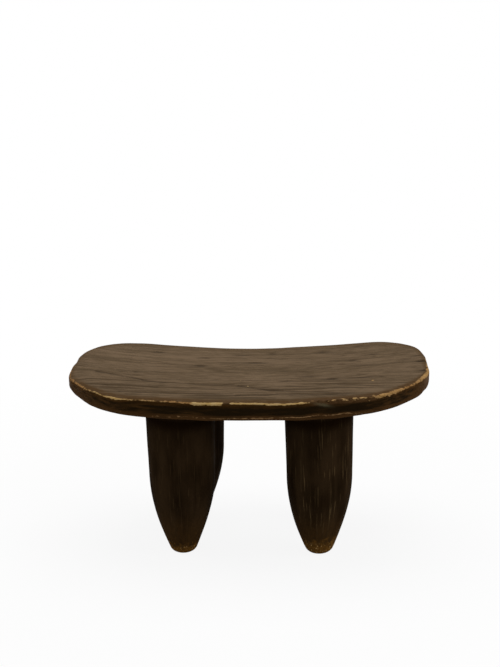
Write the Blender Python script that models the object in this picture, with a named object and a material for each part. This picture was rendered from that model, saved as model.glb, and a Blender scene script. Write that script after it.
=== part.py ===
"""A low wooden stool: one dished slab seat on four thick, bullet-shaped legs.

Each leg is a separate piece with a stub tenon turned on its top. The tenon sits in a blind round
socket in the underside of the seat, and a wedge in its saw kerf spreads it there.
Metres, +Z up. X runs along the seat, Y from front to back, and the floor is at Z = 0.
"""

import math

import bmesh
import bpy
from mathutils import Vector
from mathutils.geometry import interpolate_bezier

# Seat slab
SEAT_LENGTH = 0.5325
SEAT_DEPTH = 0.287
SEAT_THICKNESS = 0.0246
SEAT_UNDERSIDE_HEIGHT = 0.2323
SEAT_END_RISE = 0.0166
UPPER_EDGE_RADIUS = 0.0035
LOWER_EDGE_RADIUS = 0.0045

# Legs
LEG_TOP_RADIUS = 0.0512
LEG_BELLY_RADIUS = 0.0488
LEG_BELLY_HEIGHT = 0.125
FOOT_RADIUS = 0.0175
FOOT_EDGE_RADIUS = 0.006
GAP_LEFT_TO_RIGHT = 0.1012
GAP_FRONT_TO_REAR = 0.0301
LEGS_SHIFT_RIGHT = 0.003
REAR_LEFT_LEG_SHIFT_RIGHT = 0.003

# Joints between legs and seat
TENON_RADIUS = 0.020
TENON_CHAMFER = 0.0012
WOOD_ABOVE_SOCKET = 0.0088
WOOD_BELOW_KERF = 0.003
WEDGE_HEAD_THICKNESS = 0.0034
WEDGE_TIP_THICKNESS = 0.0012
WEDGE_END_SETBACK = 0.002
FIT_GAP = 0.0003
CUT_OVERRUN = 0.004

# Plan of the seat, anticlockwise from the middle of its right end, in half lengths and half depths
PLAN_SHARES = (
    (1.00, -0.02),
    (0.985, 0.39),
    (0.925, 0.715),
    (0.755, 0.965),
    (0.44, 0.995),
    (0.03, 0.945),
    (-0.38, 0.97),
    (-0.695, 0.975),
    (-0.88, 0.795),
    (-0.98, 0.445),
    (-0.995, 0.00),
    (-0.995, -0.305),
    (-0.945, -0.51),
    (-0.83, -0.78),
    (-0.645, -0.96),
    (-0.335, -0.97),
    (0.045, -1.00),
    (0.405, -0.96),
    (0.68, -0.92),
    (0.865, -0.695),
    (0.98, -0.36),
)
HANDLE_SHARE = 1 / 6
SURFACE_LOOP_SHARES = (0.82, 0.6, 0.36, 0.14)
LEG_LEVEL_SHARES = (0.07, 0.14, 0.22, 0.3, 0.38, 0.46, 0.54, 0.68, 0.84)

# Facets
PLAN_STEPS = 5
LEG_SIDES = 36
EDGE_STEPS = 3
SHARP_ANGLE = math.radians(40)

# Finish: linear colour and roughness
SEAT_WOOD = ((0.110, 0.078, 0.047, 1.0), 0.5)
LEG_WOOD = ((0.026, 0.015, 0.007, 1.0), 0.45)
WEDGE_WOOD = ((0.420, 0.270, 0.130, 1.0), 0.7)

LEG_CORNERS = {
    "front_left": (-1, -1),
    "front_right": (1, -1),
    "rear_left": (-1, 1),
    "rear_right": (1, 1),
}


def clear_scene():
    for old in list(bpy.data.objects):
        bpy.data.objects.remove(old)


def wood(name, finish):
    colour, roughness = finish
    material = bpy.data.materials.new(name)
    material.use_nodes = True
    shader = material.node_tree.nodes["Principled BSDF"]
    shader.inputs["Base Color"].default_value = colour
    shader.inputs["Roughness"].default_value = roughness
    shader.inputs["Metallic"].default_value = 0.0
    return material


def add_object(name, bm):
    """Turns the bmesh into a named object, shaded smooth between its sharp edges."""
    bmesh.ops.recalc_face_normals(bm, faces=bm.faces)
    mesh = bpy.data.meshes.new(name)
    bm.to_mesh(mesh)
    bm.free()
    mesh.shade_smooth()
    mesh.set_sharp_from_angle(angle=SHARP_ANGLE)
    thing = bpy.data.objects.new(name, mesh)
    bpy.context.scene.collection.objects.link(thing)
    return thing


def add_cutter(name, bm):
    """A closed solid that only cuts others."""
    thing = add_object(name, bm)
    thing.hide_render = True
    thing.display_type = "WIRE"
    return thing


def cut(thing, cutter):
    boolean = thing.modifiers.new("cut_" + cutter.name, "BOOLEAN")
    boolean.operation = "DIFFERENCE"
    boolean.solver = "EXACT"
    boolean.object = cutter


def skin(bm, loops):
    """Joins closed loops of points, each to the next, and closes both ends with a face."""
    rings = [[bm.verts.new(point) for point in loop] for loop in loops]
    for low, high in zip(rings, rings[1:]):
        for i in range(len(low)):
            j = (i + 1) % len(low)
            bm.faces.new((low[i], low[j], high[j], high[i]))
    return bm.faces.new(rings[0]), bm.faces.new(rings[-1])


def fan_to_middle(bm, face, middle):
    """Replaces an end face by triangles that meet at a point."""
    ring = list(face.verts)
    bm.faces.remove(face)
    centre = bm.verts.new(middle)
    for i, vert in enumerate(ring):
        bm.faces.new((vert, ring[(i + 1) % len(ring)], centre))


def quarter_round(radius):
    """Points (inset, depth) of a rounded edge, from its level face to its side."""
    angles = [math.pi / 2 * i / EDGE_STEPS for i in range(EDGE_STEPS + 1)]
    return [(radius * (1 - math.sin(a)), radius * (1 - math.cos(a))) for a in angles]


# The seat


def dish(x):
    """How far the seat at x stands above its lowest line, which crosses the middle."""
    return SEAT_END_RISE * (x / (SEAT_LENGTH / 2)) ** 2


def underside(x):
    return SEAT_UNDERSIDE_HEIGHT + dish(x)


def topside(x):
    return underside(x) + SEAT_THICKNESS


def seat_plan():
    """The seat's outline from above: a closed smooth curve that spans its length and depth exactly."""
    knots = [Vector(share) for share in PLAN_SHARES]
    points = []
    for i, start in enumerate(knots):
        before, end, after = knots[i - 1], knots[(i + 1) % len(knots)], knots[(i + 2) % len(knots)]
        out_handle = start + (end - before) * HANDLE_SHARE
        in_handle = end - (after - start) * HANDLE_SHARE
        points += interpolate_bezier(start, out_handle, in_handle, end, PLAN_STEPS + 1)[:-1]
    columns = []
    for axis, size in enumerate((SEAT_LENGTH, SEAT_DEPTH)):
        values = [point[axis] for point in points]
        low, high = min(values), max(values)
        columns.append([size * ((value - low) / (high - low) - 1 / 2) for value in values])
    return [Vector(point) for point in zip(*columns)]


def inset(plan, distance):
    """The outline moved inwards by a distance, square to itself."""
    moved = []
    for i, point in enumerate(plan):
        along = (plan[(i + 1) % len(plan)] - plan[i - 1]).normalized()
        moved.append(point + Vector((-along.y, along.x)) * distance)
    return moved


def dished_loop(plan, surface, lift=0):
    """The plan's points on the underside or topside of the seat, or a lift above it."""
    return [(point.x, point.y, surface(point.x) + lift) for point in plan]


def seat_slab():
    """The dished slab with rounded edges, before its sockets are cut."""
    plan = seat_plan()
    loops = []
    level_plan = inset(plan, LOWER_EDGE_RADIUS)
    for share in reversed(SURFACE_LOOP_SHARES):
        loops.append(dished_loop([point * share for point in level_plan], underside))
    for inwards, depth in quarter_round(LOWER_EDGE_RADIUS):
        loops.append(dished_loop(inset(plan, inwards), underside, depth))
    for inwards, depth in reversed(quarter_round(UPPER_EDGE_RADIUS)):
        loops.append(dished_loop(inset(plan, inwards), topside, -depth))
    level_plan = inset(plan, UPPER_EDGE_RADIUS)
    for share in SURFACE_LOOP_SHARES:
        loops.append(dished_loop([point * share for point in level_plan], topside))
    bm = bmesh.new()
    lowest, highest = skin(bm, loops)
    fan_to_middle(bm, lowest, (0, 0, underside(0)))
    fan_to_middle(bm, highest, (0, 0, topside(0)))
    return add_object("seat", bm)


# The legs and their joints


def leg_axis(side_x, side_y):
    """Middle of a leg from above. The rear left one stands a little nearer the middle of the stool."""
    x = LEGS_SHIFT_RIGHT + side_x * (LEG_TOP_RADIUS + GAP_LEFT_TO_RIGHT / 2)
    if (side_x, side_y) == LEG_CORNERS["rear_left"]:
        x += REAR_LEFT_LEG_SHIFT_RIGHT
    y = side_y * (LEG_TOP_RADIUS + GAP_FRONT_TO_REAR / 2)
    return Vector((x, y))


def shoulder(x):
    """Height of a leg's shoulder, which follows the underside of the seat."""
    return underside(x) - FIT_GAP


def socket_roof(axis):
    """Height of the flat end of the socket over a leg."""
    return topside(axis.x) - WOOD_ABOVE_SOCKET


def tenon_top(axis):
    return socket_roof(axis) - FIT_GAP


def kerf_floor(axis):
    return shoulder(axis.x) + WOOD_BELOW_KERF


def circle(axis, radius, height):
    """One loop of a turned piece. The height is a number, or a function of the point's x."""
    loop = []
    for i in range(LEG_SIDES):
        angle = 2 * math.pi * i / LEG_SIDES
        x = axis.x + radius * math.cos(angle)
        y = axis.y + radius * math.sin(angle)
        loop.append((x, y, height(x) if callable(height) else height))
    return loop


def body_radius(height, body_height):
    """The turned profile: a sine curve from the foot up to the belly, then a slow straight flare."""
    if height < LEG_BELLY_HEIGHT:
        swell = math.sin(math.pi / 2 * height / LEG_BELLY_HEIGHT)
        return FOOT_RADIUS + (LEG_BELLY_RADIUS - FOOT_RADIUS) * swell
    flare = (height - LEG_BELLY_HEIGHT) / (body_height - LEG_BELLY_HEIGHT)
    return LEG_BELLY_RADIUS + (LEG_TOP_RADIUS - LEG_BELLY_RADIUS) * flare


def leg(name, axis):
    """One leg: flat foot, turned body, a shoulder that fits the seat, and the tenon above it."""
    body_height = shoulder(axis.x)
    loops = []
    for inwards, height in quarter_round(FOOT_EDGE_RADIUS):
        loops.append(circle(axis, body_radius(height, body_height) - inwards, height))
    for share in LEG_LEVEL_SHARES:
        radius = body_radius(share * body_height, body_height)
        loops.append(circle(axis, radius, lambda x: share * shoulder(x)))
    loops.append(circle(axis, LEG_TOP_RADIUS, shoulder))
    loops.append(circle(axis, TENON_RADIUS, shoulder))
    loops.append(circle(axis, TENON_RADIUS, tenon_top(axis) - TENON_CHAMFER))
    loops.append(circle(axis, TENON_RADIUS - TENON_CHAMFER, tenon_top(axis)))
    bm = bmesh.new()
    skin(bm, loops)
    return add_object(name + "_leg", bm)


def socket_cutter(name, axis):
    """The blind hole for a tenon, open through the underside of the seat."""
    radius = TENON_RADIUS + FIT_GAP
    mouth = circle(axis, radius, SEAT_UNDERSIDE_HEIGHT - CUT_OVERRUN)
    roof = circle(axis, radius, socket_roof(axis))
    bm = bmesh.new()
    skin(bm, (mouth, roof))
    return add_cutter(name + "_socket", bm)


def taper_block(axis, half_width, bottom, bottom_thickness, top, top_thickness):
    """A wedge-shaped block across a tenon, its broad faces facing X."""
    outline = (
        (-bottom_thickness / 2, bottom),
        (bottom_thickness / 2, bottom),
        (top_thickness / 2, top),
        (-top_thickness / 2, top),
    )
    ends = [[(axis.x + x, axis.y + y, z) for x, z in outline] for y in (-half_width, half_width)]
    bm = bmesh.new()
    skin(bm, ends)
    return bm


def wedge(name, axis):
    """The hidden wedge that spreads a tenon in its socket."""
    half_width = TENON_RADIUS - WEDGE_END_SETBACK
    tip = kerf_floor(axis) + FIT_GAP
    block = taper_block(axis, half_width, tip, WEDGE_TIP_THICKNESS, tenon_top(axis), WEDGE_HEAD_THICKNESS)
    return add_object(name + "_wedge", block)


def kerf_cutter(name, axis):
    """The slot in a tenon that holds its wedge, open at both sides and at the top."""
    half_width = TENON_RADIUS + CUT_OVERRUN
    floor = kerf_floor(axis)
    mouth = tenon_top(axis) + CUT_OVERRUN
    growth = (WEDGE_HEAD_THICKNESS - WEDGE_TIP_THICKNESS) / (tenon_top(axis) - floor - FIT_GAP)
    floor_thickness = WEDGE_TIP_THICKNESS + 2 * FIT_GAP - growth * FIT_GAP
    mouth_thickness = WEDGE_HEAD_THICKNESS + 2 * FIT_GAP + growth * CUT_OVERRUN
    block = taper_block(axis, half_width, floor, floor_thickness, mouth, mouth_thickness)
    return add_cutter(name + "_kerf", block)


def build():
    clear_scene()
    seat = seat_slab()
    seat.data.materials.append(wood("seat_wood", SEAT_WOOD))
    leg_wood = wood("leg_wood", LEG_WOOD)
    wedge_wood = wood("wedge_wood", WEDGE_WOOD)
    for name, sides in LEG_CORNERS.items():
        axis = leg_axis(*sides)
        cut(seat, socket_cutter(name, axis))
        post = leg(name, axis)
        post.data.materials.append(leg_wood)
        cut(post, kerf_cutter(name, axis))
        wedge(name, axis).data.materials.append(wedge_wood)


build()
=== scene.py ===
import math

import bpy
import numpy as np
from mathutils import Matrix, Vector, noise
from mathutils.geometry import interpolate_bezier


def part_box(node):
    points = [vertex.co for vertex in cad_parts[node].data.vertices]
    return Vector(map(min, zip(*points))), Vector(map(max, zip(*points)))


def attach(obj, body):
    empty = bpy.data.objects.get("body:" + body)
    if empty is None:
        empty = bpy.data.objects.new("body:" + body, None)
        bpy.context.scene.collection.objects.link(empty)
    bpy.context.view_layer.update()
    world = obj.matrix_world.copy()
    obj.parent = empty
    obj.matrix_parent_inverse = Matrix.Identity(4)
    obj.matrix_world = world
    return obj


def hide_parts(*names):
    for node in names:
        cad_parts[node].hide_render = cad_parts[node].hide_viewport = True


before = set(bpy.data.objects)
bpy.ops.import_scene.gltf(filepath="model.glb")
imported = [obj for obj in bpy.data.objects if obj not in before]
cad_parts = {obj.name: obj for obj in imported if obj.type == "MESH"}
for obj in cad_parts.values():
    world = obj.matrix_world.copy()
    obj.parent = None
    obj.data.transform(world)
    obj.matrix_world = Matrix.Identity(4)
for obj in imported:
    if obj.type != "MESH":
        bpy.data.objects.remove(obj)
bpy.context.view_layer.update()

# Lengths are in metres. A pair says where something starts and where it is full: SHARES in half lengths
# of the seat from its middle, Y from its middle to the back, PATH over the surface from an edge, DEPTHS
# down from the seat. WAVES are the size of a relief's waves along each axis, and a seed.

# Camera, as the photograph was taken
PHOTO_HEIGHT = 667
SENSOR_MM = 36.0
FOCAL_PIXELS = 1399
CAMERA_PLACE = Vector((0.1355, -1.9974, 0.8928))
CAMERA_PITCH = math.radians(-15.97)
CAMERA_YAW = math.radians(3.82)
CAMERA_ROLL = math.radians(-1.236)

# Seat, with its length, depth and height from the frame
SEAT_LOW, SEAT_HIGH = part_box("seat")
HALF_LENGTH = (SEAT_HIGH.x - SEAT_LOW.x) / 2
HALF_DEPTH = (SEAT_HIGH.y - SEAT_LOW.y) / 2
UNDERSIDE_HEIGHT = SEAT_LOW.z
SEAT_THICKNESS = 0.0246
SEAT_END_RISE = 0.0166
UPPER_RADIUS = 0.0035
LOWER_INSET = 0.004
LOWER_HEIGHT = 0.006
FRONT_Y = (0.005, -0.028)

# How the rounding of the edges changes along them
UPPER_WAVES = ((0.03, 0.03, 1), 3.7)
UPPER_CHANGE = 0.35
LOWER_WAVES = ((0.024, 0.024, 1), 8.1)
LOWER_CHANGE = 0.3
END_ROUNDING = 0.9
LEFT_END_SHARES = (-0.9, -0.99)
RIGHT_END_SHARES = (0.94, 1.00)

# Plan of the seat, anticlockwise from the middle of its right end, in half lengths and half depths
PLAN_SHARES = (
    (0.996, -0.02), (0.982, 0.39), (0.925, 0.715), (0.755, 0.965), (0.44, 0.995), (0.03, 0.945),
    (-0.38, 0.97), (-0.695, 0.975), (-0.88, 0.795), (-0.98, 0.445), (-0.995, 0.00), (-0.995, -0.305),
    (-0.945, -0.51), (-0.83, -0.78), (-0.645, -0.96), (-0.335, -0.97), (0.045, -1.00), (0.405, -0.96),
    (0.68, -0.92), (0.868, -0.70), (0.985, -0.36),
)
HANDLE_SHARE = 1 / 6
PLAN_STEPS = 48

# The left end stands out a little further behind its middle
LEFT_SWELL = 0.001
LEFT_SWELL_SHARES = (-0.8, -0.9)
LEFT_SWELL_Y = (-0.055, -0.025)

# Fineness of the seat's mesh
SEAT_AROUND = 1024
TOP_RINGS = 104
UPPER_EDGE_RINGS = 10
WALL_RINGS = 12
LOWER_EDGE_RINGS = 8
UNDERSIDE_RINGS = 30
SPINE_SHARE = 0.46
MIDDLE_SHARE = 0.012

# Run of the grain over the top: lines that bow towards the front edge
BOW_MIDDLE = -0.02
BOW_PER_METRE = 0.3
BOW_Y = (0.02, -0.07)
RIGHT_BOW_SPAN = (0.1, 0.25)
RIGHT_BOW_DEPTH = 0.01
KNOT_PLACE = (0.03, -0.047)
KNOT_SIZE = (0.034, 0.014)
KNOT_LIFT = 0.007

# Relief of the top and rim
HEWN_WAVES = ((0.085, 0.026, 1.0), 1.9)
HEWN_DEPTH = 0.00045
STREAK_WAVES = ((0.04, 0.0065, 1.0), 7.7)
STREAK_DEPTH = 0.00018
CRACK_DEPTH = 0.0008
RIM_WAVES = ((0.045, 0.045, 0.03), 2.2)
RIM_WAVE_DEPTH = 0.0004
RIM_WAVE_REACH = 0.03
RIM_CUT_WAVES = ((0.03, 0.01, 0.0045), 9.4)
RIM_CUT_DEPTH = 0.0003
RIM_CUT_BIAS = 0.5
RIM_CUT_PATH = (0.001, -0.003)

# Rise and fall of the front upper edge, left to right: place in half lengths, and height
FRONT_LIP = (
    (-1.00, -0.0044), (-0.97, -0.0040), (-0.935, -0.0031), (-0.89, -0.0018), (-0.835, -0.0005),
    (-0.80, 0.0003), (-0.76, -0.0004), (-0.69, -0.0006), (-0.62, 0.0008), (-0.56, 0.0020),
    (-0.43, 0.0011), (-0.38, 0.0013), (-0.32, 0.0005), (-0.24, 0.0003), (-0.15, 0.0012), (-0.05, 0.0025),
    (0.08, 0.0025), (0.14, 0.0008), (0.22, -0.0002), (0.31, 0.0003), (0.42, 0.0010), (0.66, 0.0010),
    (0.72, 0.0002), (0.76, 0.0001), (0.82, 0.0003), (0.87, 0.0002), (0.93, -0.0003), (1.00, 0.0),
)
LIP_REACH = 0.038
LIP_WALL_SHARE = 0.7
LIP_Y = (-0.002, -0.044)

# Long checks and dark growth lines on the top: width, strength, then points in half lengths and depths
LONG_CHECKS = (
    (0.0021, 1.00, ((-0.855, -0.157), (-0.676, -0.244), (-0.545, -0.338), (-0.451, -0.365))),
    (0.0014, 0.65, ((-0.451, -0.365), (-0.33, -0.360), (-0.21, -0.372), (-0.075, -0.345))),
    (0.0021, 0.95, ((-0.045, -0.40), (0.03, -0.46), (0.115, -0.54), (0.20, -0.575))),
    (0.0016, 0.75, ((0.20, -0.575), (0.357, -0.627), (0.47, -0.68), (0.56, -0.745))),
    (0.0016, 0.80, ((-0.68, -0.725), (-0.45, -0.70), (-0.3, -0.675), (-0.075, -0.65))),
    (0.0019, 0.85, ((-0.05, -0.705), (0.05, -0.70), (0.17, -0.69))),
    (0.0015, 0.75, ((0.17, -0.66), (0.33, -0.70), (0.45, -0.745), (0.54, -0.80))),
    (0.0014, 0.65, ((0.24, -0.73), (0.36, -0.77), (0.43, -0.82))),
    (0.0015, 0.70, ((-0.845, -0.59), (-0.66, -0.55), (-0.49, -0.52))),
    (0.0014, 0.65, ((-0.82, -0.67), (-0.70, -0.63), (-0.56, -0.60))),
    (0.0013, 0.55, ((-0.10, -0.22), (0.02, -0.235), (0.12, -0.22))),
    (0.0012, 0.55, ((0.27, 0.15), (0.37, 0.155), (0.46, 0.14))),
    (0.0012, 0.45, ((-0.50, 0.275), (-0.40, 0.265), (-0.31, 0.27))),
    (0.0014, 0.60, ((0.50, -0.44), (0.62, -0.50), (0.74, -0.60))),
)

# Short dark pits: place in half lengths and depths, half length, half width, strength
PITS = (
    (0.03, 0.383, 0.020, 0.0026, 0.80), (-0.295, 0.265, 0.011, 0.0036, 0.95),
    (-0.282, 0.545, 0.012, 0.0030, 0.70), (-0.075, 0.665, 0.013, 0.0036, 0.55),
    (0.113, 0.705, 0.008, 0.0040, 0.55), (0.404, 0.715, 0.012, 0.0038, 0.62),
    (-0.554, 0.675, 0.011, 0.0034, 0.65), (0.582, 0.350, 0.010, 0.0038, 0.62),
    (0.340, -0.122, 0.015, 0.0028, 0.70), (0.465, -0.245, 0.010, 0.0036, 0.95),
    (0.640, -0.262, 0.018, 0.0030, 0.65), (0.704, 0.505, 0.008, 0.0032, 0.42),
    (0.875, 0.225, 0.014, 0.0032, 0.50), (0.205, -0.270, 0.012, 0.0024, 0.65),
    (-0.64, -0.075, 0.006, 0.0032, 0.60), (0.62, 0.135, 0.014, 0.0022, 0.50),
    (0.968, 0.100, 0.009, 0.0028, 1.40), (0.972, -0.215, 0.007, 0.0026, 1.40),
    (0.945, 0.300, 0.010, 0.0030, 0.80),
)
PIT_BREADTH = 1.35
CHECK_BREADTH = 1.3

# How the checks and pits wander across the grain, and how the checks' strength changes along them
WANDER = 0.0013
WANDER_WAVES = ((0.016, 0.05, 1), 5.3)
CHECK_WAVES = ((0.02, 0.01, 1), 14.6)
CHECK_MEAN = 0.75
CHECK_CHANGE = 0.5

# Small pale specks on the top: place in half lengths and depths, and radius
SPECKS = (
    (0.686, -0.398, 0.0032),
    (-0.042, -0.226, 0.0016),
    (0.005, -0.405, 0.0012),
)
SPECK_STRENGTH = 0.7

# Bare wood on the front upper edge, left to right: place in half lengths, half width, strength, warmth
FRONT_WEAR = (
    (-1.00, 0.0028, 0.62, 0.90), (-0.93, 0.0030, 0.65, 0.88), (-0.88, 0.0022, 0.68, 0.78),
    (-0.85, 0.0018, 0.60, 0.60), (-0.81, 0.0016, 0.60, 0.35), (-0.78, 0.0020, 0.72, 0.35),
    (-0.74, 0.0021, 0.74, 0.35), (-0.70, 0.0025, 0.94, 0.20), (-0.65, 0.0018, 0.72, 0.35),
    (-0.60, 0.0016, 0.58, 0.45), (-0.43, 0.0016, 0.52, 0.60), (-0.40, 0.0020, 0.74, 0.80),
    (-0.29, 0.0020, 0.76, 0.75), (-0.265, 0.0030, 1.00, 0.10), (-0.115, 0.0030, 1.00, 0.05),
    (-0.10, 0.0012, 0.00, 0.10), (-0.078, 0.0012, 0.00, 0.10), (-0.065, 0.0021, 0.84, 0.15),
    (0.12, 0.0022, 0.82, 0.20), (0.31, 0.0024, 0.84, 0.20), (0.345, 0.0018, 0.50, 0.50),
    (0.37, 0.0016, 0.15, 0.60), (0.46, 0.0020, 0.25, 0.60), (0.52, 0.0022, 0.32, 0.50),
    (0.56, 0.0026, 0.46, 0.40), (0.66, 0.0026, 0.50, 0.50), (0.70, 0.0030, 0.50, 0.65),
    (0.735, 0.0046, 0.88, 0.60), (0.78, 0.0042, 0.80, 0.68), (0.84, 0.0034, 0.76, 0.75),
    (0.88, 0.0028, 0.60, 0.90), (0.93, 0.0028, 0.62, 0.75), (0.98, 0.0038, 0.88, 0.60),
    (1.00, 0.0034, 0.70, 0.65),
)

# Bare wood reaches further over the top at the right end
RIGHT_WEAR_SHARES = (0.7, 0.78)
RIGHT_WEAR_REACH = 0.7

# Bare wood on the upper edge at the ends and the back
REST_WIDTH = 0.0018
REST_WARMTH = 0.6
REST_STRENGTH = 0.4
REST_WAVES = ((0.035, 0.035, 1), 6.6)
REST_CHANGE = 0.3

# How far the browner wood near the edge reaches over the top, and how much further along front and back
EDGE_REACH = 0.01
EDGE_REACH_MORE = 0.018
EDGE_BROWN_REACH = (1.0, 0.2)
THIN_BROWN_REACH = (0.85, 0.35)

# That wood is fully brown along the front and at both ends, less so along the back, and paler at the left
BROWN_Y = (0.03, -0.05)
BROWN_LEAST = 0.45
BROWN_MORE = 0.55
BROWN_MORE_SHARES = (0.72, 0.95)
LEFT_END_PALER = 0.6
PALER_SHARES = (-0.9, -0.97)

# Pale flakes in the chipped stretch: place in half lengths, distance above the edge, half length, half
# width, strength
FLAKES = (
    (0.367, 0.0030, 0.0034, 0.0024, 0.75),
    (0.447, -0.0006, 0.0030, 0.0013, 0.62),
    (0.474, 0.0008, 0.0044, 0.0028, 0.74),
    (0.535, 0.0040, 0.0075, 0.0042, 0.54),
    (0.588, 0.0022, 0.0034, 0.0028, 0.88),
    (0.624, 0.0012, 0.0075, 0.0022, 0.62),
    (0.663, -0.0045, 0.0020, 0.0013, 0.75),
    (0.696, 0.0045, 0.0036, 0.0034, 0.60),
    (0.727, -0.0025, 0.0032, 0.0015, 0.85),
)

# Front of the rim, left to right: place in half lengths, bareness of the lower edge, brownness of the
# wall, how far the lower edge hangs down, and how far under the wall the bare line runs
FRONT_RIM = (
    (-1.00, 0.20, 1.30, 0.0, 0.0017), (-0.86, 0.22, 0.85, 0.0010, 0.0017),
    (-0.78, 0.23, 0.68, 0.0007, 0.0017), (-0.70, 0.24, 0.64, 0.0, 0.0017),
    (-0.60, 0.25, 0.60, 0.0005, 0.0017), (-0.50, 0.40, 0.40, 0.0014, 0.0017),
    (-0.40, 0.62, 0.15, 0.0020, 0.0017), (-0.20, 0.62, 0.08, 0.0018, 0.0017),
    (-0.10, 0.80, 0.05, 0.0003, 0.0019), (0.10, 0.85, 0.05, 0.0002, 0.0020),
    (0.18, 0.75, 0.05, 0.0007, 0.0017), (0.30, 0.85, 0.05, 0.0026, 0.0011),
    (0.48, 0.88, 0.10, 0.0030, 0.0), (0.56, 0.80, 0.15, 0.0016, 0.0005),
    (0.64, 0.60, 0.20, 0.0003, 0.0015), (0.72, 0.35, 0.30, 0.0004, 0.0017),
    (0.88, 0.24, 0.60, 0.0, 0.0017), (0.93, 0.22, 1.10, 0.0008, 0.0017),
    (1.00, 0.20, 1.00, 0.0008, 0.0017),
)
LOWER_WEAR_WIDTH = 0.001
REST_BARENESS = 0.4
REST_BROWNNESS = 0.5
HANG_BELOW = 0.008
HANG_REACH = 0.009

# Where kinds of wood show, from the upper edge (above zero on the top) or the lower (below zero under it)
ON_TOP_PATH = (-0.0022, 0.0006)
FRINGE_PATH = (-0.007, -0.0022)
CHIPPED_TOP_PATH = (0.008, 0.002)
CHIPPED_WALL_PATH = (-0.007, -0.0032)
# The browner band on the lower rounding is partly rubbed wood and partly painted light where the rounding is
# lit
UNDER_RIM_WALL_PATH = (0.0026, 0.0006)
UNDER_RIM_PATH = (-0.014, -0.003)
END_GRAIN_AND_SHEEN_PATH = (-0.01, 0.002)

# End grain, with a painted sheen, shows where the rim faces left or right by this share
END_GRAIN_AND_SHEEN_FACING = (0.84, 1.0)

# Facets that the adze left on the underside
ADZE_WAVES = ((0.045, 0.026, 1.0), 3.3)
ADZE_DEPTH = 0.0008
ADZE_PATH = (-0.006, -0.016)

# Chips along the front upper edge
CHIPS_SHARES = (0.34, 0.74)
CHIPS_FADE = 0.05
CHIP_WAVES = ((0.006, 0.009, 0.006), 4.4)
CHIP_FROM_WAVE = (-0.15, 0.4)
CHIP_DEPTH = 0.002
CHIP_REACH = 0.0045
CHIP_DROP_SHARE = 0.5

# Grey smear under the chips
SMEAR_SHARE = 0.418
SMEAR_SIZE = (0.01, 0.0021)
SMEAR_BELOW = 0.0048
SMEAR_SLOPE = 0.24

# Legs
LEG_NAMES = ("front_left", "front_right", "rear_left", "rear_right")
BELLY_RADIUS = 0.0488
BELLY_HEIGHT = 0.125
FOOT_RADIUS = 0.0175
FOOT_EDGE_RADIUS = 0.0075
LEG_SEED_STEP = 11.3
LEG_WAVE_SIZE = (0.022, 0.022, 0.07)
LEG_WAVE_DEPTH = 0.0003
LEG_CUT_SIZE = (0.007, 0.007, 0.03)
LEG_CUT_DEPTH = 0.00015
PLAIN_ABOVE_FOOT = 0.012
PLAIN_BELOW_SEAT = 0.004
LEAN_LEFT = 0.0014
LEAN_SPAN = (0.12, 0.025)

# Fineness of the legs' meshes
LEG_AROUND = 160
LEG_LEVELS = 120
FOOT_FACE_RINGS = 8
FOOT_EDGE_RINGS = 8
SHOULDER_RINGS = 6
TENON_RINGS = 8
TENON_FACE_RINGS = 6
FACE_MIDDLE = 0.05

# How much thicker or thinner the front right leg was cut than the others: height, change of radius
RIGHT_LEG_TRIM = (
    (0.000, 0.0001),
    (0.012, 0.0008),
    (0.045, 0.0007),
    (0.085, 0.0002),
    (0.110, -0.0002),
    (0.150, -0.0005),
    (0.240, -0.0005),
)

# How clearly the pale scratches show on each leg, how high the rubbed foot reaches, how much
# lighter its colour is, and how far its pattern is shifted
LEG_LOOKS = {
    "front_left": (0.22, 0.030, 0.010, 31.1),
    "front_right": (0.95, 0.046, 0.037, 0.0),
    "rear_left": (0.25, 0.028, 0.0, 0.0),
    "rear_right": (0.45, 0.034, 0.0, 0.0),
}

# The grain spreads out over the foot's face. Low on the leg the wood is browner. Under the seat a painted
# shade darkens the colour, deepest a little below the joint and lighter again just under it.
FOOT_GRAIN_SPREAD = 3
LOW_HEIGHTS = (0.085, 0.02)
SHADE_UNDER_SEAT_DEPTHS = (0.08, 0.01)
SHADE_AT_SEAT_DEPTHS = (0.034, 0.016)
AT_JOINT_DEPTHS = (0.0135, 0.0095)
AT_JOINT_LIGHTER = 0.7

# Joints, at the sizes of the solids: a tenon in a blind socket, and a wedge in the tenon's kerf
TENON_RADIUS = 0.02
TENON_CHAMFER = 0.0012
WEDGE_TIP = 0.0012
FIT_GAP = 0.0003
CUT_OVERRUN = 0.004
SOCKET_SIDES = 96

# Floor and light, with each lamp's place, what it faces, its size and its power
FLOOR_RADIUS = 40.0
FLOOR_SIDES = 96
FLOOR_COLOUR = (0.9, 0.9, 0.9, 1.0)
WHITE = (1.0, 1.0, 1.0, 1.0)
SHADOW_SHARE = 0.1
SHADOW_REACH = (0.35, 0.95)
WORLD_COLOUR = (0.3, 0.3, 0.3, 1.0)
LAMPS = {
    "overhead_lamp": ((0.0, 0.35, 2.1), (0, 0, 0.25), (1.8, 1.4), 29),
    "right_lamp": ((1.9, -0.4, 0.8), (0, 0, 0.2), (0.9, 1.2), 11),
    "left_lamp": ((-1.9, 0.1, 0.8), (0, 0, 0.2), (0.9, 1.2), 5),
}


def smooth(low, high, value):
    """0 at low, 1 at high, and an S curve between, on numbers or arrays."""
    share = np.clip((value - low) / (high - low), 0, 1)
    return share * share * (3 - 2 * share)


def bump_at(distance, width):
    """A round-topped hump of height 1 over a place, as wide as told."""
    return np.exp(-((distance / width) ** 2))


def ripple(points, size, seed):
    """Smooth noise of about -1 to 1 at each point, whose waves have the given size along each axis."""
    scaled = np.asarray(points) / np.array(size) + seed
    values = [noise.noise(point) for point in scaled.reshape(-1, 3).tolist()]
    return np.array(values).reshape(scaled.shape[:-1])


# The seat's shape


def dish(x):
    return SEAT_END_RISE * (x / HALF_LENGTH) ** 2


def underside(x):
    return UNDERSIDE_HEIGHT + dish(x)


def topside(x):
    return underside(x) + SEAT_THICKNESS


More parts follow.
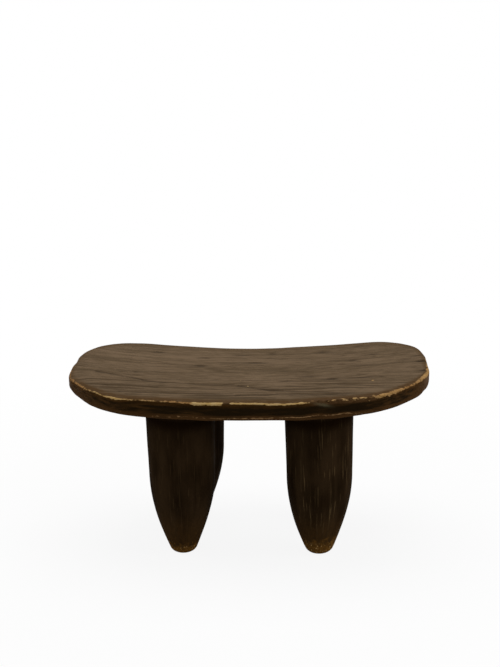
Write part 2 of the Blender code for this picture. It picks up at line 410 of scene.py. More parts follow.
def seat_plan():
    """The outline from above, as evenly spaced points over the frame's seat, swollen at the left end."""
    knots = [Vector(share) for share in PLAN_SHARES]
    curve = []
    for i, start in enumerate(knots):
        before, end, after = knots[i - 1], knots[(i + 1) % len(knots)], knots[(i + 2) % len(knots)]
        out_handle = start + (end - before) * HANDLE_SHARE
        in_handle = end - (after - start) * HANDLE_SHARE
        curve += interpolate_bezier(start, out_handle, in_handle, end, PLAN_STEPS + 1)[:-1]
    curve = np.array([tuple(point) for point in curve])
    low, high = curve.min(0), curve.max(0)
    curve = ((curve - low) / (high - low) * 2 - 1) * (HALF_LENGTH, HALF_DEPTH)
    at_left = smooth(*LEFT_SWELL_SHARES, curve[:, 0] / HALF_LENGTH) * smooth(*LEFT_SWELL_Y, curve[:, 1])
    curve[:, 0] -= LEFT_SWELL * at_left
    closed = np.vstack((curve, curve[:1]))
    along = np.concatenate(([0], np.cumsum(np.linalg.norm(np.diff(closed, axis=0), axis=1))))
    stops = np.linspace(0, along[-1], SEAT_AROUND, endpoint=False)
    return np.column_stack([np.interp(stops, along, closed[:, axis]) for axis in (0, 1)])


def inward_normals(plan):
    along = np.roll(plan, -1, axis=0) - np.roll(plan, 1, axis=0)
    along /= np.linalg.norm(along, axis=1, keepdims=True)
    return np.column_stack((-along[:, 1], along[:, 0]))


def front_share(plan):
    """1 along the front edge, fading to 0 past both ends."""
    return smooth(*FRONT_Y, plan[:, 1])


def from_table(x, table, column):
    """A column of a table whose first column is a place in half lengths, at each x."""
    return np.interp(x / HALF_LENGTH, [row[0] for row in table], [row[column] for row in table])


def round_edge(plan, table, column, rest):
    """A column of a table along the front edge, and another value along the rest."""
    front = front_share(plan)
    return from_table(plan[:, 0], table, column) * front + rest * (1 - front)


def edge_ripple(plan, size, seed):
    """Smooth noise along the outline."""
    return ripple(np.column_stack((plan, np.zeros(len(plan)))), size, seed)


def edge_sizes(plan):
    """Radius of the upper edge and size of the lower edge's rounding, at each point of the outline."""
    place = plan[:, 0] / HALF_LENGTH
    upper = UPPER_RADIUS * (1 + UPPER_CHANGE * edge_ripple(plan, *UPPER_WAVES))
    upper *= 1 + END_ROUNDING * smooth(*LEFT_END_SHARES, place)
    lower = 1 + LOWER_CHANGE * edge_ripple(plan, *LOWER_WAVES)
    lower *= 1 + END_ROUNDING * smooth(*RIGHT_END_SHARES, place)
    return upper, LOWER_INSET * lower, LOWER_HEIGHT * lower


def seat_rings(plan):
    """Loops over the whole slab, from the middle of the underside round the rim to the middle of the top.

    Gives the points as an array of rings, and the index of the ring on the lower and the upper edge.
    """
    inwards = inward_normals(plan)
    spine = plan * (SPINE_SHARE, 0)
    upper, lower_inset, lower_height = edge_sizes(plan)
    rings = []

    def ring(inset, height):
        flat = plan + inwards * np.asarray(inset)[..., None]
        rings.append(np.column_stack((flat, height(flat[:, 0]))))

    def inner_ring(inset, share, surface):
        flat = spine + (plan + inwards * inset[:, None] - spine) * share
        rings.append(np.column_stack((flat, surface(flat[:, 0]))))

    for share in np.linspace(MIDDLE_SHARE, 1, UNDERSIDE_RINGS, endpoint=False):
        inner_ring(lower_inset, share, underside)
    for angle in np.linspace(0, math.pi / 2, LOWER_EDGE_RINGS + 1):
        climb = lower_height * (1 - math.cos(angle))
        ring(lower_inset * (1 - math.sin(angle)), lambda x: underside(x) + climb)
    lower_edge = len(rings) - 1
    wall = SEAT_THICKNESS - lower_height - upper
    for share in np.linspace(0, 1, WALL_RINGS + 2)[1:-1]:
        ring(np.zeros(len(plan)), lambda x: underside(x) + lower_height + wall * share)
    upper_edge = len(rings) + UPPER_EDGE_RINGS // 2
    for angle in np.linspace(math.pi / 2, 0, UPPER_EDGE_RINGS + 1):
        ring(upper * (1 - math.sin(angle)), lambda x: topside(x) - upper * (1 - math.cos(angle)))
    for share in np.linspace(1, MIDDLE_SHARE, TOP_RINGS + 1)[1:]:
        inner_ring(upper, share, topside)
    return np.array(rings), lower_edge, upper_edge


def path_from(rings, edge):
    """Distance over the surface from one ring, negative on the side of the underside."""
    steps = np.linalg.norm(np.diff(rings, axis=0), axis=2)
    along = np.concatenate((np.zeros((1, rings.shape[1])), np.cumsum(steps, axis=0)))
    return along - along[edge]


def across_grain(x, y):
    """Place across the grain, whose lines bow towards the front and pass round one small knot."""
    bow = BOW_PER_METRE * (x - BOW_MIDDLE) ** 2 + RIGHT_BOW_DEPTH * smooth(*RIGHT_BOW_SPAN, x)
    lift = KNOT_LIFT * bump_at(x - KNOT_PLACE[0], KNOT_SIZE[0]) * bump_at(y - KNOT_PLACE[1], KNOT_SIZE[1])
    return y + bow * smooth(*BOW_Y, y) - lift


def line_mask(x, y, points, width):
    """1 on a line through the points, 0 away from it, with round ends."""
    best = np.full(x.shape, np.inf)
    for (x0, y0), (x1, y1) in zip(points, points[1:]):
        length = math.hypot(x1 - x0, y1 - y0)
        share = np.clip(((x - x0) * (x1 - x0) + (y - y0) * (y1 - y0)) / length**2, 0, 1)
        best = np.minimum(best, np.hypot(x - x0 - share * (x1 - x0), y - y0 - share * (y1 - y0)))
    return bump_at(best, width)


def seat_marks(x, y):
    """Depth of the checks and pits in the top, 0 to 1."""
    marks = np.zeros(x.shape)
    flat = np.stack((x, y, np.zeros(x.shape)), -1)
    wander = WANDER * ripple(flat, *WANDER_WAVES)
    for width, strength, shares in LONG_CHECKS:
        points = [(a * HALF_LENGTH, b * HALF_DEPTH) for a, b in shares]
        marks = np.maximum(marks, strength * line_mask(x, y + wander, points, CHECK_BREADTH * width))
    marks = marks * (CHECK_MEAN + CHECK_CHANGE * ripple(flat, *CHECK_WAVES))
    for across, back, half_length, half_width, strength in PITS:
        far = ((x - across * HALF_LENGTH) / half_length) ** 2
        far += ((y + wander - back * HALF_DEPTH) / (PIT_BREADTH * half_width)) ** 2
        marks = np.maximum(marks, strength * np.exp(-far))
    return np.clip(marks, 0, 1)


def shape_top(points, marks, upper_path):
    """Height added to the top: hewn waves, streaks, checks and pits."""
    x, y = points[..., 0], points[..., 1]
    flow = np.stack((x, across_grain(x, y), np.zeros(x.shape)), -1)
    lift = HEWN_DEPTH * ripple(flow, *HEWN_WAVES)
    lift += STREAK_DEPTH * ripple(flow, *STREAK_WAVES)
    lift -= CRACK_DEPTH * marks
    return lift * smooth(-UPPER_RADIUS, 0, upper_path)


def front_lip(points, upper_path):
    """Height added along the front edge, whose line rises and falls."""
    lip = from_table(points[..., 0], FRONT_LIP, 1) * smooth(*LIP_Y, points[..., 1])
    return lip * smooth(LIP_REACH, 0, upper_path) * smooth(-LIP_WALL_SHARE * SEAT_THICKNESS, 0, upper_path)


def in_chips(x, y):
    """1 along the chipped stretch of the front edge."""
    share = x / HALF_LENGTH
    first, last = CHIPS_SHARES
    here = smooth(first, first + CHIPS_FADE, share) * smooth(last, last - CHIPS_FADE, share)
    return here * (y < 0)


def chip_depths(points, upper_path):
    """How deep the chips cut into the front upper edge."""
    ragged = ripple(points, *CHIP_WAVES)
    here = in_chips(points[..., 0], points[..., 1])
    return CHIP_DEPTH * here * smooth(*CHIP_FROM_WAVE, ragged) * bump_at(upper_path, CHIP_REACH)


def shaped_slab(plan, rings, marks, lower_path, upper_path):
    """The rings with their relief: hewn top, rising and chipped front edge, waved rim, adzed underside."""
    points = rings.copy()
    points[..., 2] += shape_top(rings, marks, upper_path) + front_lip(rings, upper_path)
    outward = np.zeros(rings.shape)
    outward[..., :2] = -inward_normals(plan)
    wave = RIM_WAVE_DEPTH * ripple(rings, *RIM_WAVES) * bump_at(upper_path, RIM_WAVE_REACH)
    cuts = RIM_CUT_BIAS + ripple(rings, *RIM_CUT_WAVES)
    wave -= RIM_CUT_DEPTH * cuts * smooth(*RIM_CUT_PATH, upper_path)
    chips = chip_depths(rings, upper_path)
    points += outward * (wave - chips)[..., None]
    points[..., 2] -= CHIP_DROP_SHARE * chips
    hang = from_table(plan[:, 0], FRONT_RIM, 3) * front_share(plan)
    points[..., 2] -= hang * bump_at(lower_path + HANG_BELOW, HANG_REACH)
    facets = np.abs(ripple(rings, *ADZE_WAVES)) * smooth(*ADZE_PATH, lower_path)
    points[..., 2] += ADZE_DEPTH * facets
    return points


def strip_rows(count):
    """Index rows of the quads that close the thin innermost ring along the spine."""
    half = count // 2
    rows = [(0, 1, count - 1)]
    rows += [(j, j + 1, count - j - 1, count - j) for j in range(1, half - 1)]
    rows.append((half - 1, half, half + 1))
    return rows


def ring_faces(ring_count, around):
    """Quads between the rings."""
    faces = []
    for i in range(ring_count - 1):
        low, high = i * around, (i + 1) * around
        for j in range(around):
            k = (j + 1) % around
            faces.append((low + j, low + k, high + k, high + j))
    return faces


def slab_faces(ring_count):
    """Quads between the seat's rings, and the strips that close its underside and its top."""
    top = (ring_count - 1) * SEAT_AROUND
    faces = ring_faces(ring_count, SEAT_AROUND)
    faces += [tuple(reversed(row)) for row in strip_rows(SEAT_AROUND)]
    faces += [tuple(top + j for j in row) for row in strip_rows(SEAT_AROUND)]
    return faces


def add_object(name, data):
    """A new object in the scene."""
    thing = bpy.data.objects.new(name, data)
    bpy.context.scene.collection.objects.link(thing)
    return thing


def make_piece(name, points, faces, attributes):
    """A mesh object with its per-point attributes."""
    mesh = bpy.data.meshes.new(name)
    mesh.from_pydata(points.reshape(-1, 3).tolist(), [], faces)
    for key, values in attributes.items():
        kind, field = ("FLOAT_VECTOR", "vector") if values.ndim == points.ndim else ("FLOAT", "value")
        slot = mesh.attributes.new(key, kind, "POINT")
        slot.data.foreach_set(field, values.astype(np.float32).ravel())
    mesh.shade_smooth()
    return add_object(name, mesh)


def carve(piece, cutters):
    """Cuts closed shapes out of a piece that has no material yet, and removes them."""
    for cutter in cutters:
        cut = piece.modifiers.new("cut", "BOOLEAN")
        cut.solver = "MANIFOLD"
        cut.object = cutter
    graph = bpy.context.evaluated_depsgraph_get()
    whole = piece.evaluated_get(graph)
    carved = bpy.data.meshes.new_from_object(whole, preserve_all_data_layers=True, depsgraph=graph)
    carved.materials.clear()
    carved.polygons.foreach_set("material_index", [0] * len(carved.polygons))
    piece.modifiers.clear()
    piece.data = carved
    for cutter in cutters:
        bpy.data.objects.remove(cutter)


# Where each kind of wood shows on the seat


def edge_wear(plan, upper_path):
    """Bareness of the wood along the upper edge, 0 to 1, and its warmth."""
    x = plan[:, 0]
    front = front_share(plan)
    rest = REST_STRENGTH + REST_CHANGE * edge_ripple(plan, *REST_WAVES)
    width = round_edge(plan, FRONT_WEAR, 1, REST_WIDTH)
    strength = round_edge(plan, FRONT_WEAR, 2, rest)
    warmth = round_edge(plan, FRONT_WEAR, 3, REST_WARMTH)
    reach = 1 + RIGHT_WEAR_REACH * smooth(*RIGHT_WEAR_SHARES, x / HALF_LENGTH) * front
    bare = strength * bump_at(upper_path, width * np.where(upper_path > 0, reach, 1))
    for across, above, half_length, half_width, flake in FLAKES:
        far = np.hypot((x - across * HALF_LENGTH) / half_length, (upper_path - above) / half_width)
        bare = np.maximum(bare, flake * front * np.exp(-(far**2)))
    return bare, np.broadcast_to(warmth, bare.shape)


def speck_mask(x, y):
    specks = np.zeros(x.shape)
    for across, back, radius in SPECKS:
        far = np.hypot(x - across * HALF_LENGTH, y - back * HALF_DEPTH)
        specks = np.maximum(specks, SPECK_STRENGTH * bump_at(far, radius))
    return specks


def smear_mask(x, y, upper_path):
    """A slanting smear on the wall, under the chips."""
    along = x - SMEAR_SHARE * HALF_LENGTH
    below = upper_path + SMEAR_BELOW + SMEAR_SLOPE * along
    return bump_at(along, SMEAR_SIZE[0]) * bump_at(below, SMEAR_SIZE[1]) * (y < 0)


def edge_browns(plan, x, y, upper_path):
    """Where the top is browner near its edge, and where the stain is rubbed thin along the front."""
    reached = upper_path / (EDGE_REACH + EDGE_REACH_MORE * inward_normals(plan)[:, 1] ** 2)
    paler = 1 - LEFT_END_PALER * smooth(*PALER_SHARES, plan[:, 0] / HALF_LENGTH)
    at_ends = BROWN_LEAST + BROWN_MORE * smooth(*BROWN_MORE_SHARES, np.abs(x) / HALF_LENGTH)
    around = smooth(*EDGE_BROWN_REACH, reached) * np.maximum(smooth(*BROWN_Y, y), at_ends)
    thin = front_share(plan) * smooth(*THIN_BROWN_REACH, reached)
    return around * paler, thin * paler


def seat_attributes(plan, rings, lower_path, upper_path):
    """Where each kind of wood, with the painted sheen at the ends and painted light under the lower edge,
    shows on the slab, 0 to 1, and the place along and across the grain.
    """
    x, y = rings[..., 0], rings[..., 1]
    on_top = smooth(*ON_TOP_PATH, upper_path)
    bare, warmth = edge_wear(plan, upper_path)
    lower_bare = round_edge(plan, FRONT_RIM, 1, REST_BARENESS)
    brown = round_edge(plan, FRONT_RIM, 2, REST_BROWNNESS)
    below = from_table(plan[:, 0], FRONT_RIM, 4)
    specks = speck_mask(x, y) * on_top
    near_edge, thin = edge_browns(plan, x, y, upper_path)
    chipped = in_chips(x, y) * smooth(*CHIPPED_TOP_PATH, upper_path)
    end_grain_and_sheen = smooth(*END_GRAIN_AND_SHEEN_FACING, np.abs(inward_normals(plan)[:, 0]))
    return {
        "grain": np.stack((x, across_grain(x, y), rings[..., 2] - dish(x)), -1),
        "on_top": on_top,
        "marks": seat_marks(x, y) * on_top,
        "bare": np.maximum(bare, specks),
        "warmth": warmth * (1 - specks),
        "lower_bare": lower_bare * bump_at(lower_path + below, LOWER_WEAR_WIDTH),
        "fringe": smooth(*FRINGE_PATH, upper_path) * (1 - on_top),
        "under_rim": smooth(*UNDER_RIM_WALL_PATH, lower_path) * smooth(*UNDER_RIM_PATH, lower_path),
        "brown": np.broadcast_to(brown, x.shape),
        "near_edge": near_edge,
        "thin": thin,
        "fresh": np.zeros(x.shape),
        "chipped": chipped * smooth(*CHIPPED_WALL_PATH, upper_path),
        "smear": smear_mask(x, y, upper_path),
        "at_end": end_grain_and_sheen * smooth(*END_GRAIN_AND_SHEEN_PATH, lower_path) * (1 - on_top),
    }


def make_seat():
    plan = seat_plan()
    rings, lower_edge, upper_edge = seat_rings(plan)
    lower_path, upper_path = path_from(rings, lower_edge), path_from(rings, upper_edge)
    attributes = seat_attributes(plan, rings, lower_path, upper_path)
    points = shaped_slab(plan, rings, attributes["marks"], lower_path, upper_path)
    seat = make_piece("seat_wood_slab", points, slab_faces(len(rings)), attributes)
    carve(seat, [socket_cutter(name) for name in LEG_NAMES])
    seat.data.materials.append(seat_wood())
    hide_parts("seat")
    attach(seat, "root")


# The legs' shape


def body_radius(height, top_radius, body_height):
    """The turned profile: a sine curve from the foot up to the belly, then a slow straight flare."""
    swell = np.sin(math.pi / 2 * np.minimum(height / BELLY_HEIGHT, 1))
    flare = np.maximum((height - BELLY_HEIGHT) / (body_height - BELLY_HEIGHT), 0)
    return FOOT_RADIUS + (BELLY_RADIUS - FOOT_RADIUS) * swell + (top_radius - BELLY_RADIUS) * flare


def leg_profile(top_radius, body_height, tenon_top):
    """Rows of height and radius, from the middle of the foot up to the middle of the tenon's end."""
    flat = FOOT_RADIUS - FOOT_EDGE_RADIUS
    rows = [(0, share * flat) for share in np.linspace(FACE_MIDDLE, 1, FOOT_FACE_RINGS, endpoint=False)]
    for angle in np.linspace(0, math.pi / 2, FOOT_EDGE_RINGS + 1):
        height = FOOT_EDGE_RADIUS * (1 - math.cos(angle))
        inset = FOOT_EDGE_RADIUS * (1 - math.sin(angle))
        rows.append((height, body_radius(height, top_radius, body_height) - inset))
    for height in np.linspace(FOOT_EDGE_RADIUS, body_height, LEG_LEVELS)[1:]:
        rows.append((height, body_radius(height, top_radius, body_height)))
    rows += [(body_height, radius) for radius in np.linspace(top_radius, TENON_RADIUS, SHOULDER_RINGS)[1:]]
    chamfer_height = tenon_top - TENON_CHAMFER
    rows += [(height, TENON_RADIUS) for height in np.linspace(body_height, chamfer_height, TENON_RINGS)[1:]]
    tenon_end = TENON_RADIUS - TENON_CHAMFER
    rows += [(tenon_top, share * tenon_end) for share in np.linspace(1, FACE_MIDDLE, TENON_FACE_RINGS)]
    return np.array(rows)


def turned_faces(ring_count, around):
    """Quads between rings that go up, and a face at each end."""
    faces = ring_faces(ring_count, around)
    faces.append(tuple(reversed(range(around))))
    faces.append(tuple((ring_count - 1) * around + j for j in range(around)))
    return faces


def fresh_cut(rings):
    """Attributes for the faces that a cutter leaves: bare wood with its own grain."""
    return {"grain": rings, "fresh": np.ones(rings.shape[:-1])}


def socket_cutter(name):
    """The blind round hole for a leg's tenon, open through the underside of the seat."""
    low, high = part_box(name + "_leg")
    middle = (low + high) / 2
    angles = np.linspace(0, 2 * math.pi, SOCKET_SIDES, endpoint=False)
    radius = TENON_RADIUS + FIT_GAP
    rings = np.empty((2, SOCKET_SIDES, 3))
    rings[..., 0] = middle.x + radius * np.cos(angles)
    rings[..., 1] = middle.y + radius * np.sin(angles)
    rings[0, :, 2] = UNDERSIDE_HEIGHT - CUT_OVERRUN
    rings[1, :, 2] = high.z + FIT_GAP
    return make_piece("socket", rings, turned_faces(2, SOCKET_SIDES), fresh_cut(rings))


def kerf_cutter(name):
    """The tapered slot for a leg's wedge, open at both sides and at the end of the tenon."""
    low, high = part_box(name + "_wedge")
    middle = (low + high) / 2
    taper = (high.x - low.x - WEDGE_TIP) / (high.z - low.z)
    half_width = TENON_RADIUS + CUT_OVERRUN
    rings = []
    for height in (low.z - FIT_GAP, high.z + CUT_OVERRUN):
        half = (WEDGE_TIP + taper * (height - low.z)) / 2 + FIT_GAP
        corners = ((-half, -half_width), (half, -half_width), (half, half_width), (-half, half_width))
        rings.append([(middle.x + x, middle.y + y, height) for x, y in corners])
    rings = np.array(rings)
    return make_piece("kerf", rings, turned_faces(2, 4), fresh_cut(rings))


def leg_rings(rows, middle, body_height, seed):
    """The rings of a leg: their places on a straight turned leg, in its grain, and on the stool."""
    angles = np.linspace(0, 2 * math.pi, LEG_AROUND, endpoint=False)
    unit = np.column_stack((np.cos(angles), np.sin(angles), np.zeros(LEG_AROUND)))
    height, radius = rows[:, 0, None], rows[:, 1, None]
    upright = height[..., None] * np.array((0, 0, 1))
    turned = radius[..., None] * unit + upright
    grain = np.minimum(BELLY_RADIUS, FOOT_GRAIN_SPREAD * radius)[..., None] * unit + upright
    side = smooth(0, PLAIN_ABOVE_FOOT, height) * smooth(body_height, body_height - PLAIN_BELOW_SEAT, height)
    wave = LEG_WAVE_DEPTH * ripple(turned, LEG_WAVE_SIZE, seed) * side
    wave += LEG_CUT_DEPTH * ripple(grain, LEG_CUT_SIZE, seed) * side
    points = turned + unit * wave[..., None] + np.array((middle.x, middle.y, 0))
    body = rows[:, 0] <= body_height
    points[body, :, 2] *= (underside(points[body, :, 0]) - FIT_GAP) / body_height
    points[..., 0] -= LEAN_LEFT * smooth(*LEAN_SPAN, height)
    return turned, grain, points


def leg_attributes(height, grain, body_height, foot_height):
    """Where each kind of wood and the painted shade under the seat show on a leg, 0 to 1, and the place in
    its grain.
    """
    below_seat = body_height - height
    # The painted shade at the seat is lifted again just under the joint
    at_joint = 1 - AT_JOINT_LIGHTER * smooth(*AT_JOINT_DEPTHS, below_seat)
    return {
        "grain": grain,
        "foot": smooth(foot_height, 0.0, height),
        "low": smooth(*LOW_HEIGHTS, height),
        "painted_shade_under_seat": smooth(*SHADE_UNDER_SEAT_DEPTHS, below_seat),
        "painted_shade_at_seat": smooth(*SHADE_AT_SEAT_DEPTHS, below_seat) * at_joint,
        "fresh": (below_seat < 0) * 1.0,
    }


def make_leg(name, index):
    low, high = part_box(name + "_leg")
    middle = (low + high) / 2
    body_height = underside(middle.x) - FIT_GAP
    rows = leg_profile((high.x - low.x) / 2, body_height, high.z)
    if name == "front_right":
        rows[:, 1] += np.interp(rows[:, 0], *zip(*RIGHT_LEG_TRIM)) * smooth(0, FOOT_RADIUS, rows[:, 1])
    seed = LEG_SEED_STEP * (index + 1)
    scratches, foot_height, lighter, shift = LEG_LOOKS[name]
    turned, grain, points = leg_rings(rows, middle, body_height, seed)
    attributes = leg_attributes(turned[..., 2], grain, body_height, foot_height)
    leg = make_piece(name + "_wood_leg", points, turned_faces(len(rows), LEG_AROUND), attributes)
    carve(leg, [kerf_cutter(name)])
    leg.data.materials.append(leg_wood(seed + shift, scratches, lighter))
    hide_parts(name + "_leg")
    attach(leg, "root")


# Materials


class Surface:
    """A material, with short names for the nodes that its pattern is made of."""

    def __init__(self, name, seed=0.0):
        self.material = bpy.data.materials.new(name)
        self.material.use_nodes = True
        self.nodes = self.material.node_tree.nodes
        self.links = self.material.node_tree.links
        self.shader = self.nodes["Principled BSDF"]
        self.seed = seed
        self.grain = None

    def set(self, socket, value):
        if isinstance(value, bpy.types.NodeSocket):
            self.links.new(value, socket)
        else:
            socket.default_value = value

    def node(self, kind, inputs=(), **settings):
        node = self.nodes.new(kind)
        for key, value in settings.items():
            setattr(node, key, value)
        for key, value in inputs:
            self.set(node.inputs[key], value)
        return node

    def attribute(self, name):
        """A float attribute of the mesh."""
        return self.node("ShaderNodeAttribute", attribute_name=name).outputs["Fac"]

    def place(self, name):
        """A vector attribute of the mesh."""
        return self.node("ShaderNodeAttribute", attribute_name=name).outputs["Vector"]

    def math(self, operation, a, b):
        return self.node("ShaderNodeMath", ((0, a), (1, b)), operation=operation).outputs[0]

    def times(self, a, b):
        return self.math("MULTIPLY", a, b)

    def total(self, *shares):
        """Sum of values, each times its weight."""
        result = 0.0
        for weight, value in shares:
            inputs = ((0, value), (1, weight), (2, result))
            result = self.node("ShaderNodeMath", inputs, operation="MULTIPLY_ADD").outputs[0]
        return result

    def pattern(self, size, detail, roughness, seed):
        """Noise of 0 to 1 whose spots have the given size along each axis of the grain."""
        scale = [1 / length for length in size]
        inputs = ((0, self.grain), (1, scale), (2, (self.seed + seed,) * 3))
        scaled = self.node("ShaderNodeVectorMath", inputs, operation="MULTIPLY_ADD").outputs[0]
        inputs = (("Vector", scaled), ("Scale", 1.0), ("Detail", detail), ("Roughness", roughness))
        return self.node("ShaderNodeTexNoise", inputs).outputs["Fac"]

    def band(self, value, low, high, start=0.0, end=1.0):
        """Start where the value is low, end where it is high, and an S curve between."""
        inputs = (("Value", value), ("From Min", low), ("From Max", high), ("To Min", start), ("To Max", end))
        return self.node("ShaderNodeMapRange", inputs, interpolation_type="SMOOTHSTEP").outputs["Result"]

    def broken(self, name, value, band):
        """A float attribute of the mesh, broken up by a band of a pattern."""
        return self.times(self.attribute(name), self.band(value, *band))

    def mix(self, factor, a, b):
        """A colour between a and b."""
        return self.node("ShaderNodeMix", ((0, factor), (6, a), (7, b)), data_type="RGBA").outputs[2]

    def bump(self, height, distance, strength, normal=None):
        inputs = [("Height", height), ("Distance", distance), ("Strength", strength)]
        if normal is not None:
            inputs.append(("Normal", normal))
        return self.node("ShaderNodeBump", inputs).outputs["Normal"]

    def fresh(self, streak):
        """Bare split wood, as inside the joints."""
        return self.mix(self.band(streak, *FRESH_BAND), FRESH_DARK, FRESH_LIGHT)

    def finish(self, colour, roughness, normal):
        self.set(self.shader.inputs["Base Color"], colour)
        self.set(self.shader.inputs["Roughness"], roughness)
        self.set(self.shader.inputs["Normal"], normal)
        return self.material


# Noise patterns of the seat's wood: size along, across and up the grain, detail, roughness, seed
BROAD_TONE = ((0.2, 0.05, 0.05), 2.0, 0.55, 0.0)
STREAKS = ((0.08, 0.0052, 0.01), 4.0, 0.6, 3.0)
RIM_TONE = ((0.045, 0.012, 0.0035), 4.0, 0.6, 5.0)
FIBRES = ((0.024, 0.0009, 0.0012), 3.0, 0.6, 9.0)
RAGGED = ((0.008, 0.004, 0.003), 4.0, 0.65, 13.0)
PORES = ((0.01, 0.0011, 0.0016), 2.0, 0.5, 21.0)
DASHES = ((0.02, 0.0042, 0.006), 2.0, 0.5, 31.0)
STAINS = ((0.03, 0.005, 0.006), 3.0, 0.55, 43.0)
RUBS = ((0.026, 0.0045, 0.006), 3.0, 0.55, 57.0)
FRONT_LINES = ((0.17, 0.0062, 0.006), 2.0, 0.55, 71.0)
MOTTLE = ((0.012, 0.006, 0.006), 3.0, 0.6, 83.0)
CHIP_TONE = ((0.012, 0.006, 0.006), 3.0, 0.6, 97.0)

# A BAND is the value at which a tone starts and is full, then its least and most strength. RAGGED is
# how much the noise moves the border of bare wood, and START where that border begins.
TOP_TONE_WEIGHTS = (0.22, 0.42, 0.22, 0.14)
TOP_TONE_BAND = (0.4, 0.6)
STAIN_BAND = (0.58, 0.7, 0.0, 0.6)
RUB_BAND = (0.6, 0.7, 0.0, 0.5)
FRONT_LINE_BAND = (0.52, 0.62, 0.0, 0.75)
FRONT_LINE_Y = (-0.02, -0.06)
PORE_BAND = (0.62, 0.72, 0.0, 0.35)
EDGE_BAND = (0.35, 0.6, 0.55, 1.0)
THIN_BAND = (0.32, 0.58, 0.45, 0.95)
MARK_STRENGTH = 0.85
BROWNNESS_WEIGHT = 0.28
RIM_BAND = (0.52, 0.84)
FRINGE_BAND = (0.35, 0.6, 0.35, 0.9)
UNDER_RIM_BAND = (0.3, 0.6, 0.5, 1.0)
END_BAND = (0.34, 0.62, 0.35, 0.95)
CHIP_BAND = (0.3, 0.5, 0.4, 0.95)
SMEAR_BAND = (0.35, 0.6, 0.65, 1.0)
LOWER_RAGGED = 1.8
LOWER_START = -0.9
LOWER_BAND = (0.45, 0.75)
UPPER_RAGGED = 1.7
UPPER_START = -0.85
UPPER_BAND = (0.42, 0.66)
GOLD_BAND = (0.4, 0.65)
FRESH_BAND = (0.35, 0.65)

# Gloss, and bumps as their height and strength
SEAT_SPECULAR = 0.03
TOP_ROUGHNESS = (0.3, 0.7, 0.54, 0.66)
RIM_ROUGHER = 0.22
SEAT_BUMP = (0.0009, 0.6)
FIBRE_BUMP = (0.0004, 0.5)

FRESH_DARK = (0.3, 0.19, 0.09, 1.0)
FRESH_LIGHT = (0.44, 0.3, 0.16, 1.0)

# The top's colours are greyer and a little lighter than the stained wood: they carry part of its sheen as
# painted sheen
TOP_DARK = (0.087, 0.057, 0.03, 1.0)
TOP_LIGHT = (0.152, 0.102, 0.06, 1.0)
TOP_STAIN = (0.05, 0.031, 0.014, 1.0)
TOP_RUBBED = (0.17, 0.116, 0.066, 1.0)
EDGE_BROWN = (0.079, 0.0455, 0.0175, 1.0)
THIN_BROWN = (0.068, 0.0345, 0.0115, 1.0)
PORE_DARK = (0.022, 0.013, 0.006, 1.0)
RIM_DARK = (0.0125, 0.0066, 0.0018, 1.0)
RIM_BROWN = (0.052, 0.024, 0.0065, 1.0)
FRINGE_BROWN = (0.054, 0.0225, 0.0042, 1.0)
CHIP_BROWN = (0.07, 0.035, 0.013, 1.0)
# Brown of the lower rounding, partly painted light
UNDER_RIM_BROWN_AND_LIGHT = (0.056, 0.025, 0.007, 1.0)
LOWER_TAN = (0.23, 0.132, 0.058, 1.0)
BARE_GOLD = (0.43, 0.275, 0.09, 1.0)
BARE_TAN = (0.49, 0.345, 0.155, 1.0)
BARE_ORANGE = (0.25, 0.118, 0.038, 1.0)
SMEAR_GREY = (0.106, 0.086, 0.046, 1.0)
# Greyer brown of the end grain, which carries a painted sheen
END_BROWN_AND_SHEEN = (0.135, 0.08, 0.046, 1.0)


def top_colour(s, streak, fibre):
    """Dark stained wood with brown wear in long streaks and short dashes, in colours that carry a painted
    sheen.
    """
    tones = (s.pattern(*BROAD_TONE), streak, s.pattern(*DASHES), fibre)
    tone = s.total(*zip(TOP_TONE_WEIGHTS, tones))
    colour = s.mix(s.band(tone, *TOP_TONE_BAND), TOP_DARK, TOP_LIGHT)
    colour = s.mix(s.band(s.pattern(*STAINS), *STAIN_BAND), colour, TOP_STAIN)
    colour = s.mix(s.band(s.pattern(*RUBS), *RUB_BAND), colour, TOP_RUBBED)
    across = s.node("ShaderNodeSeparateXYZ", ((0, s.grain),)).outputs[1]
    lines = s.band(s.pattern(*FRONT_LINES), *FRONT_LINE_BAND)
    colour = s.mix(s.times(lines, s.band(across, *FRONT_LINE_Y)), colour, TOP_STAIN)
    colour = s.mix(s.band(s.pattern(*PORES), *PORE_BAND), colour, PORE_DARK)
    mottle = s.pattern(*MOTTLE)
    colour = s.mix(s.broken("near_edge", mottle, EDGE_BAND), colour, EDGE_BROWN)
    colour = s.mix(s.broken("thin", mottle, THIN_BAND), colour, THIN_BROWN)
    return s.mix(s.times(s.attribute("marks"), MARK_STRENGTH), colour, PORE_DARK)


def rim_colour(s):
    """Near-black stain on the wall, browner at both ends and under the lower edge, with a painted sheen on
    the end grain and painted light on the lower rounding.
    """
    tone = s.pattern(*RIM_TONE)
    brown = s.total((1.0, tone), (BROWNNESS_WEIGHT, s.attribute("brown")))
    colour = s.mix(s.band(brown, *RIM_BAND), RIM_DARK, RIM_BROWN)
    colour = s.mix(s.broken("fringe", tone, FRINGE_BAND), colour, FRINGE_BROWN)
    # Browner band under the lower edge, partly painted light on the rounding
    colour = s.mix(s.broken("under_rim", tone, UNDER_RIM_BAND), colour, UNDER_RIM_BROWN_AND_LIGHT)
    # End grain at both ends, with a painted sheen in its greyer colour
    return s.mix(s.broken("at_end", tone, END_BAND), colour, END_BROWN_AND_SHEEN)


